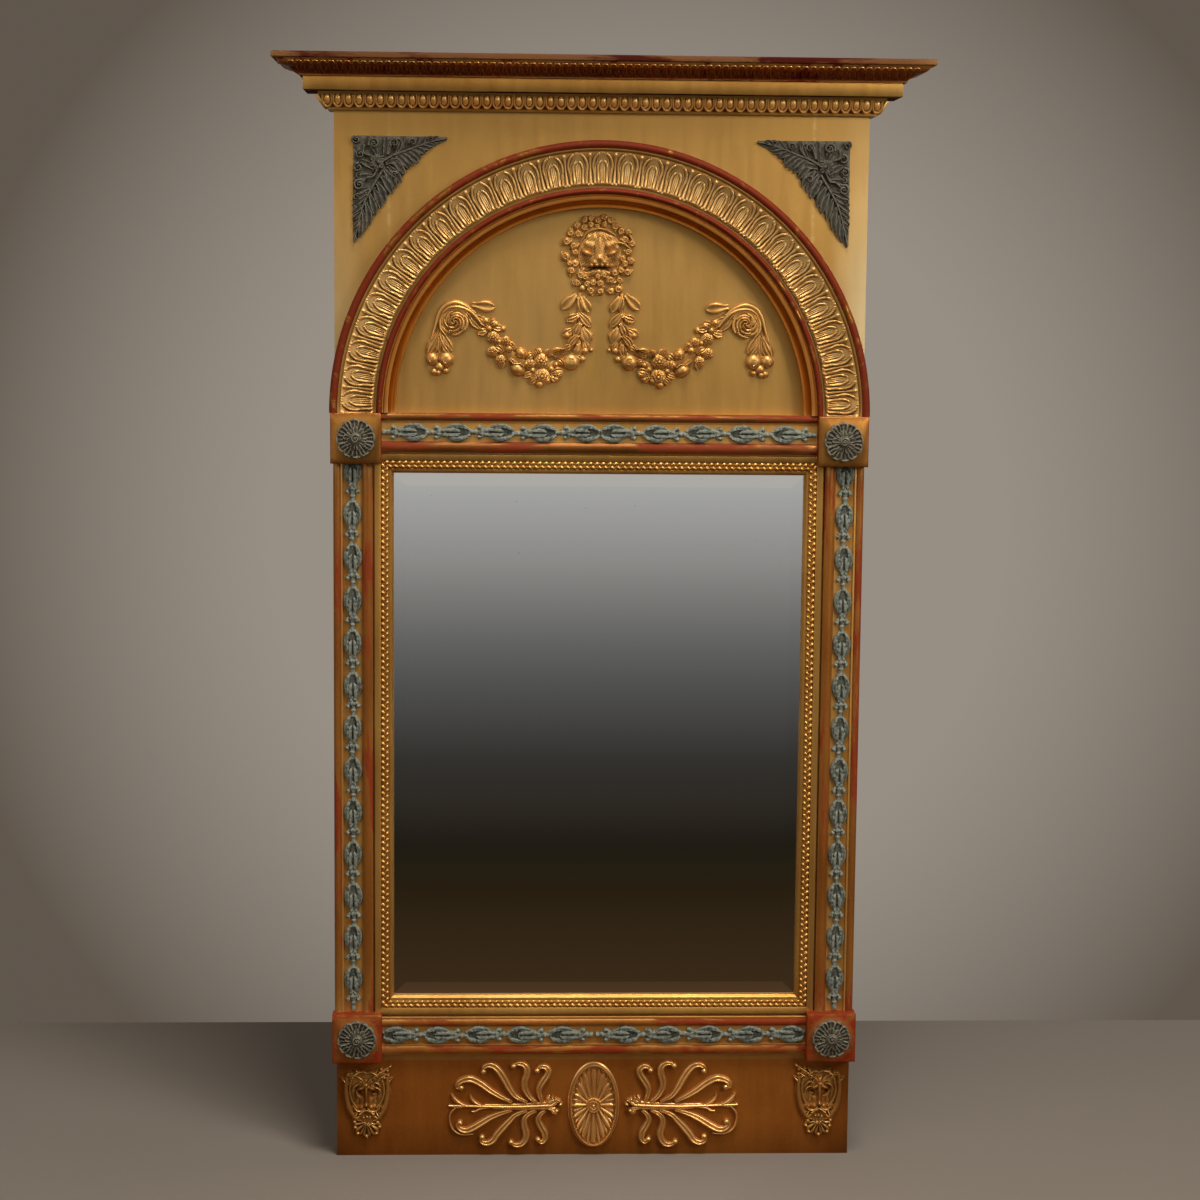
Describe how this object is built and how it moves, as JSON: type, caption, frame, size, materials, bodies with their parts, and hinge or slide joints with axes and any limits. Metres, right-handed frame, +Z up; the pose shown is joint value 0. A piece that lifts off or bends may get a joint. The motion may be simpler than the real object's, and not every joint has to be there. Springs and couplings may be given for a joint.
{
  "type": "wall mirror",
  "caption": "Tall gilded wall mirror with a projecting cornice, an arched panel of carved leaves over a rectangular plate, and hanging plates in the back.",
  "frame": {"origin": "midway between the two holes of the hanging plates, on the back plane that lies against the wall", "axes": "+Z up, +X to the viewer's right, +Y into the wall, so the front faces -Y"},
  "size_m": [0.9472, 0.1236, 1.643],
  "materials": {
    "bare_pine": "bare planed pine, darkened with age",
    "gilt_board": "water gilding on flat boards, rubbed and toned",
    "gilt_moulding": "burnished water gilding with red bole showing at the crests",
    "worn_gilt_over_bole": "gilding worn through to red bole on the reeds and block edges",
    "verdigris_composition": "moulded composition painted grey-green like old bronze",
    "dark_verdigris_composition": "moulded composition painted dark grey-green",
    "gilt_carving": "carved and gilded wood and composition",
    "looking_glass": "old silvered plate with a shallow bevel",
    "iron": "flat forged iron, dark"
  },
  "bodies": {
    "root": {"arch_inner_moulding": "gilt_moulding", "arch_leaves": "gilt_carving", "arch_outer_moulding": "gilt_moulding", "arched_board": "gilt_board", "backboard_1": "bare_pine", "backboard_2": "bare_pine", "backboard_3": "bare_pine", "bed_moulding_front": "gilt_moulding", "bed_moulding_left": "gilt_moulding", "bed_moulding_right": "gilt_moulding", "bottom_rail": "gilt_board", "corner_block_bottom_left": "worn_gilt_over_bole", "corner_block_bottom_right": "worn_gilt_over_bole", "corner_block_top_left": "worn_gilt_over_bole", "corner_block_top_right": "worn_gilt_over_bole", "corner_ornament_left": "dark_verdigris_composition", "corner_ornament_right": "dark_verdigris_composition", "cornice_cap": "bare_pine", "crown_front": "gilt_moulding", "crown_left": "gilt_moulding", "crown_right": "gilt_moulding", "festoon_left": "gilt_carving", "festoon_right": "gilt_carving", "glass_blocks": "bare_pine", "hanger_plate_left": "iron", "hanger_plate_right": "iron", "leaf_string_bottom": "verdigris_composition", "leaf_string_left": "verdigris_composition", "leaf_string_right": "verdigris_composition", "leaf_string_top": "verdigris_composition", "lion_mask": "gilt_carving", "middle_rail": "gilt_board", "mirror_plate": "looking_glass", "palmette_left": "gilt_carving", "palmette_right": "gilt_carving", "patera": "gilt_carving", "patera_rim": "gilt_carving", "ram_mask_left": "gilt_carving", "ram_mask_right": "gilt_carving", "reeded_moulding_bottom": "worn_gilt_over_bole", "reeded_moulding_left": "worn_gilt_over_bole", "reeded_moulding_right": "worn_gilt_over_bole", "reeded_moulding_top": "worn_gilt_over_bole", "rosette_bottom_left": "verdigris_composition", "rosette_bottom_right": "verdigris_composition", "rosette_top_left": "verdigris_composition", "rosette_top_right": "verdigris_composition", "sight_moulding_bottom": "gilt_moulding", "sight_moulding_left": "gilt_moulding", "sight_moulding_right": "gilt_moulding", "sight_moulding_top": "gilt_moulding", "stile_left": "gilt_board", "stile_right": "gilt_board", "top_rail": "bare_pine", "tympanum_panel": "gilt_board"}
  },
  "joints": []
}
